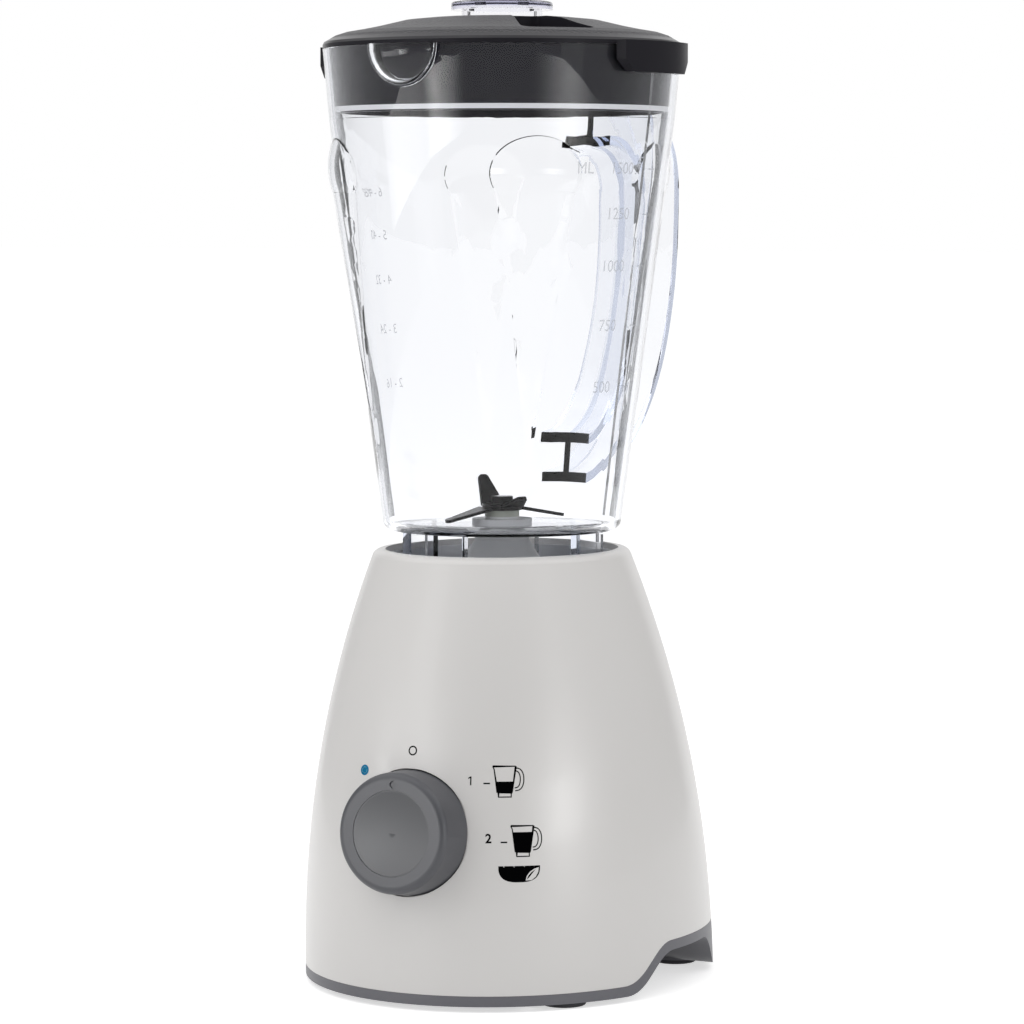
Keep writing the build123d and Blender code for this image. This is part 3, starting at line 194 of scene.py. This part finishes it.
def metal(name, base, roughness, stretch=(1.0, 1.0, 40.0), strength=0.2):
    """Metal with a brushed grain, which runs across the axes with a large stretch."""
    material, tree, shader = new_material(name)
    shader.inputs["Metallic"].default_value = 1.0
    shader.inputs["Roughness"].default_value = roughness
    mottle(tree, shader, base, 0.06, 60.0)
    place = add(tree, "ShaderNodeTexCoord")
    mapping = add(tree, "ShaderNodeMapping", Scale=stretch)
    noise = add(tree, "ShaderNodeTexNoise", Scale=400.0, Detail=3.0)
    bump = add(tree, "ShaderNodeBump", Strength=strength, Distance=0.03 * MM)
    tree.links.new(place.outputs["Object"], mapping.inputs["Vector"])
    tree.links.new(mapping.outputs["Vector"], noise.inputs["Vector"])
    tree.links.new(noise.outputs["Fac"], bump.inputs["Height"])
    tree.links.new(bump.outputs["Normal"], shader.inputs["Normal"])
    return material


def clear(name, tint, density):
    """Clear plastic that takes on its tint where it is thick."""
    material, tree, shader = new_material(name)
    shader.inputs["Base Color"].default_value = (1, 1, 1, 1)
    shader.inputs["Roughness"].default_value = 0.0
    shader.inputs["IOR"].default_value = CLEAR_INDEX
    shader.inputs["Transmission Weight"].default_value = 1.0
    shader.inputs["Specular Tint"].default_value = (CLEAR_SHEEN, CLEAR_SHEEN, CLEAR_SHEEN, 1)
    volume = add(tree, "ShaderNodeVolumeAbsorption", Color=tint, Density=density)
    tree.links.new(volume.outputs["Volume"], tree.nodes["Material Output"].inputs["Volume"])
    return material


def graded(tree, source, start, end, low=0.0, high=1.0, smooth=True):
    """A value that runs from low to high as its source runs from start to end."""
    node = add(tree, "ShaderNodeMapRange", interpolation_type="SMOOTHSTEP" if smooth else "LINEAR")
    for name, value in (("From Min", start), ("From Max", end), ("To Min", low), ("To Max", high)):
        node.inputs[name].default_value = value
    tree.links.new(source, node.inputs["Value"])
    return node.outputs["Result"]


def lid_plastic(name, base):
    """Glossy on the skirt and about the filler cap, with a spark texture on the ring between. Its
    reflection is painted stronger on faces that look up than on the sides, which lightens the top and
    darkens the skirt.
    """
    material, tree, shader = new_material(name)
    shader.inputs["Base Color"].default_value = base
    from_axis = add(tree, "ShaderNodeVectorMath", operation="SUBTRACT")
    from_axis.inputs[1].default_value = DRIVE
    flat = add(tree, "ShaderNodeVectorMath", operation="MULTIPLY")
    flat.inputs[1].default_value = (1, 1, 0)
    length = add(tree, "ShaderNodeVectorMath", operation="LENGTH")
    tree.links.new(add(tree, "ShaderNodeTexCoord").outputs["Object"], from_axis.inputs[0])
    tree.links.new(from_axis.outputs[0], flat.inputs[0])
    tree.links.new(flat.outputs[0], length.inputs[0])
    radius = length.outputs["Value"]
    normal = add(tree, "ShaderNodeSeparateXYZ")
    tree.links.new(add(tree, "ShaderNodeNewGeometry").outputs["Normal"], normal.inputs[0])
    upward = normal.outputs["Z"]
    share = graded(tree, radius, SPARK_INNER - SPARK_FADE, SPARK_INNER + SPARK_FADE)
    for other in (graded(tree, radius, SPARK_OUTER + SPARK_FADE, SPARK_OUTER - SPARK_FADE),
                  graded(tree, upward, 0.6, 0.8)):
        product = add(tree, "ShaderNodeMath", operation="MULTIPLY")
        tree.links.new(share, product.inputs[0])
        tree.links.new(other, product.inputs[1])
        share = product.outputs[0]
    roughness = graded(tree, share, 0.0, 1.0, 0.28, 0.42, smooth=False)
    # painted reflection: the specular level follows which way the surface faces, strong on faces that look
    # up and weak on the sides and underneath, so the top shows lighter and the skirt darker
    top_painted_sheen = graded(tree, upward, 0.1, 0.5, 0.12, 0.34, smooth=False)
    tree.links.new(roughness, shader.inputs["Roughness"])
    tree.links.new(top_painted_sheen, shader.inputs["Specular IOR Level"])
    bump = grain(tree, shader, SPARK_GRAIN, 1.0, SPARK_DEPTH)
    tree.links.new(share, bump.inputs["Strength"])
    return material


def ink(name, base):
    """Printed, without shine."""
    material, tree, shader = new_material(name)
    shader.inputs["Roughness"].default_value = 0.9
    shader.inputs["Specular IOR Level"].default_value = 0.0
    mottle(tree, shader, base, 0.03, 14.0)
    return material


def moulded_mark(name, base, cover):
    """Raised lettering on the clear jug, which shows as a faint grey."""
    material, tree, shader = new_material(name)
    shader.inputs["Base Color"].default_value = base
    shader.inputs["Roughness"].default_value = 0.5
    shader.inputs["Alpha"].default_value = cover
    return material


MATERIALS = {
    "housing_white": plastic("housing_white", colour(230, 228, 226), 0.34,
                             bump=0.03, spread=0.006, coat=0.15),
    "plinth_grey": plastic("plinth_grey", colour(104, 104, 110), 0.42),
    "foot_rubber": plastic("foot_rubber", colour(62, 62, 66), 0.75, bump=0.4),
    "screw_steel": metal("screw_steel", colour(178, 178, 178), 0.3),
    "well_grey": plastic("well_grey", colour(226, 227, 229), 0.4),
    "steel_laminate": metal("steel_laminate", colour(120, 120, 122), 0.5, stretch=(1.0, 1.0, 300.0)),
    "winding_copper": metal("winding_copper", colour(184, 104, 62), 0.35,
                            stretch=(60.0, 1.0, 60.0), strength=0.6),
    "bracket_aluminium": metal("bracket_aluminium", colour(190, 190, 192), 0.45, stretch=(1.0, 1.0, 1.0)),
    "bearing_steel": metal("bearing_steel", colour(196, 196, 198), 0.2),
    "isolator_rubber": plastic("isolator_rubber", colour(40, 40, 42), 0.8, bump=0.4),
    "holder_brass": metal("holder_brass", colour(200, 166, 96), 0.35),
    "brush_carbon": plastic("brush_carbon", colour(38, 38, 38), 0.7, bump=0.5),
    "spring_steel": metal("spring_steel", colour(186, 186, 182), 0.3),
    "switch_black": plastic("switch_black", colour(36, 36, 38), 0.45),
    "terminal_white": plastic("terminal_white", colour(222, 218, 206), 0.5),
    "capacitor_yellow": plastic("capacitor_yellow", colour(212, 172, 60), 0.35),
    "knob_grey": plastic("knob_grey", colour(80, 81, 86), 0.42, bump=0.2, grain_scale=1500.0),
    "knob_disc_grey": plastic("knob_disc_grey", colour(72, 73, 77), 0.36, bump=0.2, grain_scale=1500.0),
    "jug_clear": clear("jug_clear", colour(202, 210, 228), 46.0),
    "carrier_grey": plastic("carrier_grey", colour(206, 207, 209), 0.45),
    "seal_rubber": plastic("seal_rubber", colour(90, 90, 92), 0.7),
    "spacer_grey": plastic("spacer_grey", colour(164, 168, 158), 0.5),
    "blade_steel": metal("blade_steel", colour(26, 25, 25), 0.3, stretch=(1.0, 30.0, 1.0)),
    "lid_dark": lid_plastic("lid_dark", colour(39, 38, 43)),
    "lid_seal_clear": plastic("lid_seal_clear", colour(250, 250, 252), 0.3),
    "cap_clear": clear("cap_clear", colour(208, 208, 226), 50.0),
}
for part in frame["record"]["subparts"]:
    piece = nodes[part["node"]]
    piece.data.materials.clear()
    piece.data.materials.append(MATERIALS[part["material_slot"]])


# ------------------------------------------------------------------ studio
def direction(azimuth):
    a = math.radians(azimuth)
    return Vector((math.sin(a), -math.cos(a), 0))


def make_camera():
    data = bpy.data.cameras.new("camera")
    data.lens = LENS
    data.sensor_width = SENSOR
    camera = bpy.data.objects.new("camera", data)
    bpy.context.collection.objects.link(camera)
    camera.location = DRIVE + direction(CAMERA_AZIMUTH) * CAMERA_DISTANCE
    camera.location.z = CAMERA_HEIGHT
    pitch = math.radians(90 - CAMERA_TILT)
    camera.rotation_euler = (pitch, 0, math.radians(CAMERA_AZIMUTH - CAMERA_TURN))
    bpy.context.scene.camera = camera


def make_lamp(name, azimuth, elevation, distance, side, watts):
    """A soft box that looks at the middle of the blender."""
    data = bpy.data.lights.new(name, "AREA")
    data.size = side
    data.energy = watts
    lamp = bpy.data.objects.new(name, data)
    bpy.context.collection.objects.link(lamp)
    rise = math.radians(elevation)
    offset = direction(CAMERA_AZIMUTH + azimuth) * math.cos(rise) + Vector((0, 0, math.sin(rise)))
    lamp.location = DRIVE + Vector((0, 0, LAMP_AIM)) + offset * distance
    lamp.rotation_euler = offset.to_track_quat("Z", "Y").to_euler()


def seen_directly(tree):
    """1 from the camera, in reflections and through clear pieces, which all see the white background."""
    path = add(tree, "ShaderNodeLightPath")
    total = path.outputs["Is Camera Ray"]
    for name in ("Is Glossy Ray", "Is Transmission Ray"):
        either = add(tree, "ShaderNodeMath", operation="MAXIMUM")
        tree.links.new(total, either.inputs[0])
        tree.links.new(path.outputs[name], either.inputs[1])
        total = either.outputs[0]
    return total


def make_world():
    world = bpy.data.worlds.new("studio")
    world.use_nodes = True
    bpy.context.scene.world = world
    tree = world.node_tree
    lit, shown = tree.nodes["Background"], add(tree, "ShaderNodeBackground")
    lit.inputs["Color"].default_value = (1, 1, 1, 1)
    lit.inputs["Strength"].default_value = SKY_LIGHT
    shown.inputs["Color"].default_value = (1, 1, 1, 1)
    mix = add(tree, "ShaderNodeMixShader")
    tree.links.new(seen_directly(tree), mix.inputs["Fac"])
    tree.links.new(lit.outputs[0], mix.inputs[1])
    tree.links.new(shown.outputs[0], mix.inputs[2])
    tree.links.new(mix.outputs[0], tree.nodes["World Output"].inputs["Surface"])


def make_floor():
    """A worktop that looks white, and still takes the blender's shadow."""
    reach = FLOOR_SIDE / 2
    corners = [(-reach, -reach), (reach, -reach), (reach, reach), (-reach, reach)]
    mesh = bpy.data.meshes.new("floor")
    mesh.from_pydata([(x, y, WORKTOP) for x, y in corners], [], [(0, 1, 2, 3)])
    floor = bpy.data.objects.new("floor", mesh)
    bpy.context.collection.objects.link(floor)
    material, tree, shader = new_material("floor_white")
    shader.inputs["Base Color"].default_value = (0.8, 0.8, 0.8, 1)
    shader.inputs["Roughness"].default_value = 0.8
    shader.inputs["Specular IOR Level"].default_value = 0.0
    shader.inputs["Emission Color"].default_value = (1, 1, 1, 1)
    glow = add(tree, "ShaderNodeMath", operation="MULTIPLY")
    glow.inputs[1].default_value = FLOOR_GLOW
    tree.links.new(seen_directly(tree), glow.inputs[0])
    tree.links.new(glow.outputs[0], shader.inputs["Emission Strength"])
    mesh.materials.append(material)


def spaced(start, end, steps):
    return [start + (end - start) * i / steps for i in range(steps + 1)]


def screen(name, turns, low, high, distance, tone, dull=True):
    """Upright panels around the blender, from one azimuth to the next, that neither light nor shade it."""
    count = len(turns)
    feet = [DRIVE + direction(CAMERA_AZIMUTH + turn) * distance for turn in turns]
    corners = [foot + Vector((0, 0, z)) for z in (low, high) for foot in feet]
    mesh = bpy.data.meshes.new(name)
    mesh.from_pydata(corners, [], [(i, i + 1, i + count + 1, i + count) for i in range(count - 1)])
    material, tree, shader = new_material(name)
    shader.inputs["Base Color"].default_value = (0, 0, 0, 1)
    shader.inputs["Emission Color"].default_value = (1, 1, 1, 1)
    shader.inputs["Emission Strength"].default_value = tone
    if dull:
        shader.inputs["Roughness"].default_value = 1.0
        shader.inputs["Specular IOR Level"].default_value = 0.0
    mesh.materials.append(material)
    panel = bpy.data.objects.new(name, mesh)
    bpy.context.collection.objects.link(panel)
    panel.visible_camera = False
    panel.visible_diffuse = False
    panel.visible_shadow = False
    return panel, tree, shader


def edge_strip(name, middle):
    """A strip beyond the blender, dark through clear pieces and white in reflections inside them."""
    turns = spaced(middle - EDGE_SPAN / 2, middle + EDGE_SPAN / 2, 2)
    strip, tree, shader = screen(name, turns, 0, WALL_HEIGHT, EDGE_DISTANCE, 0.0)
    reflected = add(tree, "ShaderNodeMath", operation="MINIMUM")
    reflected.inputs[1].default_value = 1.0
    tree.links.new(add(tree, "ShaderNodeLightPath").outputs["Glossy Depth"], reflected.inputs[0])
    tree.links.new(reflected.outputs[0], shader.inputs["Emission Strength"])
    strip.visible_glossy = False


def wide_wall(name, start, end, tone):
    """A wall that only reflections see."""
    turns = spaced(start, end, round((end - start) / WALL_FACET))
    wall, _, _ = screen(name, turns, 0, WALL_HEIGHT, WALL_DISTANCE, tone)
    wall.visible_transmission = False


def tone_at(turn, tones):
    spans = zip(tones, tones[1:])
    (start, low), (end, high) = next(span for span in spans if turn <= span[1][0])
    return low + (high - low) * (turn - start) / (end - start)


def glow_panel(name, tones):
    """A bright panel that only reflections see. Its tone runs evenly between (azimuth, tone) pairs."""
    turns = spaced(tones[0][0], tones[-1][0], GLOW_STEPS)
    levels = [tone_at(turn, tones) for turn in turns]
    panel, tree, shader = screen(name, turns, GLOW_LOW, GLOW_HIGH, GLOW_DISTANCE, 0.0, dull=False)
    shade = panel.data.attributes.new("shade", "FLOAT", "POINT")
    shade.data.foreach_set("value", levels * 2)
    tone = add(tree, "ShaderNodeAttribute", attribute_name="shade")
    tree.links.new(tone.outputs["Fac"], shader.inputs["Emission Strength"])
    panel.visible_transmission = False


def make_walls():
    """Narrow dark strips beyond the blender draw thin edges in the clear pieces. The wide walls on the
    camera's side keep reflections low, with gaps between them."""
    for side in (-1, 1):
        edge_strip(f"edge_{side + 1}", 180 + side * EDGE_ANGLE)
    for name, start, end, tone in WALLS:
        wide_wall("wall_" + name, start, end, tone)


# ------------------------------------------------------------------ printed and moulded marks
def surface_of(node):
    return BVHTree.FromObject(nodes[node], bpy.context.evaluated_depsgraph_get())


def lay_on(name, flat, surface, azimuth, height, paint, body):
    """Lays a flat mesh, drawn in X and Y, on the outside of a piece at that azimuth and height."""
    out = direction(azimuth)
    across = Vector((-out.y, out.x, 0))
    grid = bmesh.new()
    grid.from_mesh(flat)
    bmesh.ops.triangulate(grid, faces=grid.faces)
    for _ in range(2):
        long = [e for e in grid.edges if e.calc_length() > MARK_FACET]
        bmesh.ops.subdivide_edges(grid, edges=long, cuts=1)
        bmesh.ops.triangulate(grid, faces=grid.faces)
    for corner in grid.verts:
        start = DRIVE + across * corner.co.x + Vector((0, 0, height + corner.co.y)) + out * OUTSIDE
        place, normal, _, _ = surface.ray_cast(start, -out)
        corner.co = place + normal * MARK_LIFT
    grid.to_mesh(flat)
    grid.free()
    mark = bpy.data.objects.new(name, flat)
    bpy.context.collection.objects.link(mark)
    flat.materials.clear()
    flat.materials.append(paint)
    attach(mark, body)


def drawn(splines):
    """A filled flat mesh from closed outlines; an outline inside another one is a hole."""
    curve = bpy.data.curves.new("outline", "CURVE")
    curve.dimensions = "2D"
    curve.fill_mode = "BOTH"
    for points in splines:
        line = curve.splines.new("POLY")
        line.points.add(len(points) - 1)
        for point, (x, y) in zip(line.points, points):
            point.co = (x * MM, y * MM, 0, 1)
        line.use_cyclic_u = True
    return flat_mesh(curve)


def written(text, size, weight=0.0):
    curve = bpy.data.curves.new("text", "FONT")
    curve.body = text
    curve.size = size * MM
    curve.offset = weight * MM
    curve.align_x = "CENTER"
    curve.align_y = "CENTER"
    return flat_mesh(curve)


def flat_mesh(curve):
    holder = bpy.data.objects.new("flat", curve)
    bpy.context.collection.objects.link(holder)
    bpy.context.view_layer.update()
    mesh = bpy.data.meshes.new_from_object(holder)
    bpy.data.objects.remove(holder)
    return mesh


def ellipse(half_width, half_height):
    steps = 40
    turns = [2 * math.pi * i / steps for i in range(steps)]
    return [(half_width * math.cos(t), half_height * math.sin(t)) for t in turns]


def bar(half_width, half_height):
    return [(-half_width, -half_height), (half_width, -half_height),
            (half_width, half_height), (-half_width, half_height)]


def stroke(points):
    """The outline of a pen's line through the points, twice as broad where it starts."""
    sides = [], []
    points = [Vector(point) for point in points]
    for i, here in enumerate(points):
        come = (here - points[max(i - 1, 0)]).normalized()
        go = (points[min(i + 1, len(points) - 1)] - here).normalized()
        way = (come + go).normalized()
        reach = PEN / 2 / max(way.dot(come), 0.5)
        for side, sign in zip(sides, (-1, 1)):
            side.append((here.x - sign * way.y * reach, here.y + sign * way.x * reach))
    return sides[0] + sides[1][::-1]


def jug_icon(level):
    """A small jug with a lip, a foot and a handle, filled up to a level between 0 and 1."""
    ground, low, high = -5.9, -4.2, 6.0
    foot, mouth, lip, step = 2.9, 4.3, 0.5, 0.4
    full = low + (high - low) * level
    width = foot + (mouth - foot) * level
    fill = [(-foot, low), (foot, low), (width, full), (-width, full)]
    corner, tip = (-mouth + 0.1, high - 1.2), (-mouth - lip, high)
    rim, right = [tip, (mouth, high)], [(mouth, high), (foot, low)]
    bottom, left = [(foot, low), (-foot, low)], [(-foot, low), corner, tip]
    base = [(step - foot, low), (step - foot, ground), (foot - step, ground), (foot - step, low)]

    def grip(reach, rise):
        turns = [math.radians(88 - 176 * i / 16) for i in range(17)]
        return [(3.5 + reach * max(math.cos(t), 0) ** 0.6, 0.9 + rise * math.sin(t)) for t in turns]

    lines = (rim, right, bottom, left, base, grip(4.0, 4.4), grip(2.6, 3.3))
    return [[fill]] + [[stroke(line)] for line in lines]


def bowl_icon():
    """A filled bowl with a leaf left clear on its right, and a vein in the leaf."""
    half_width, depth, rim, square = 8.3, 6.4, 3.2, 0.72
    turns = [math.pi + math.pi * i / 32 for i in range(33)]
    bowl = [(math.copysign(half_width * abs(math.cos(t)) ** square, math.cos(t)),
             rim - depth * abs(math.sin(t)) ** square) for t in turns]
    leaf = [(2.5, -2.6), (2.9, -0.9), (4.2, 0.8), (6.0, 2.0),
            (7.8, 2.5), (7.6, 0.6), (6.6, -1.2), (4.9, -2.5)]
    vein = [(3.0, -2.2), (3.5, -0.9), (4.7, 0.5), (6.6, 1.8), (5.2, 0.2), (4.0, -1.3)]
    return [bowl, leaf, vein]


def print_on_housing():
    surface = surface_of("housing")
    black = ink("print_black", colour(6, 6, 7))
    blue = ink("print_blue", colour(34, 122, 164))
    pale = ink("print_pale", colour(120, 180, 205))
    knob = joint_place("knob_turn").z

    def place(name, mesh, azimuth, height, paint=black):
        lay_on(name, mesh, surface, azimuth, height, paint, "base")

    def dial(name):
        """Azimuth and height of a mark beside the knob."""
        a = math.radians(DIAL[name])
        across = DIAL_RADIUS * math.sin(a)
        return math.degrees(math.atan2(across, HOUSING_FRONT)), knob + DIAL_RADIUS * math.cos(a)

    place("mark_pulse", drawn([ellipse(2.3, 2.1)]), *dial("pulse"), blue)
    place("mark_pulse_ring", drawn([ellipse(1.5, 1.35), ellipse(1.15, 1.05)]), *dial("pulse"), pale)
    place("mark_off", drawn([ellipse(1.9, 1.9), ellipse(1.35, 1.35)]), *dial("off"))
    one = [(0.0, -1.7), (0.5, -1.7), (0.5, 1.7), (0.05, 1.7), (-0.75, 1.2), (-0.75, 0.7), (0.0, 1.1)]
    place("mark_one", drawn([one]), *dial("one"))
    place("mark_two", written("2", 5.0, weight=0.12), *dial("two"))
    for name, azimuth, height in DASHES:
        place("mark_dash_" + name, drawn([bar(1.3, 0.28)]), azimuth, height * MM)
    for name, level, azimuth, height in JUG_SIGNS:
        for i, part in enumerate(jug_icon(level)):
            place(f"mark_jug_{name}_{i}", drawn(part), azimuth, height * MM)
    place("mark_bowl_0", drawn(bowl_icon()), BOWL_AZIMUTH, BOWL_HEIGHT * MM)


def mark_jug():
    """Volume marks on the jug's right side, and a second scale on its left."""
    surface = surface_of("jug")
    faint = moulded_mark("jug_marks", colour(196, 199, 205), 0.55)

    def place(name, mesh, turn, height):
        lay_on(name, mesh, surface, SPOUT + turn, height * MM, faint, "jug")

    for i, (text, height) in enumerate(VOLUMES):
        place(f"volume_{i}", written(text, VOLUME_SIZE), VOLUME_TURN, height)
        place(f"volume_dash_{i}", drawn([bar(2.6, 0.35)]), VOLUME_DASH_TURN, height)
    for i, (text, height) in enumerate(SCALE):
        place(f"scale_{i}", written(text, SCALE_SIZE), SCALE_TURN, height)
    place("volume_unit", written("ML", VOLUME_SIZE), VOLUME_UNIT_TURN, VOLUMES[-1][1])


make_camera()
make_world()
make_floor()
make_walls()
print_on_housing()
mark_jug()
for lamp in LAMPS:
    make_lamp(*lamp)
for name, tones in GLOWS.items():
    glow_panel(name, tones)
bpy.context.scene.view_settings.view_transform = "Standard"
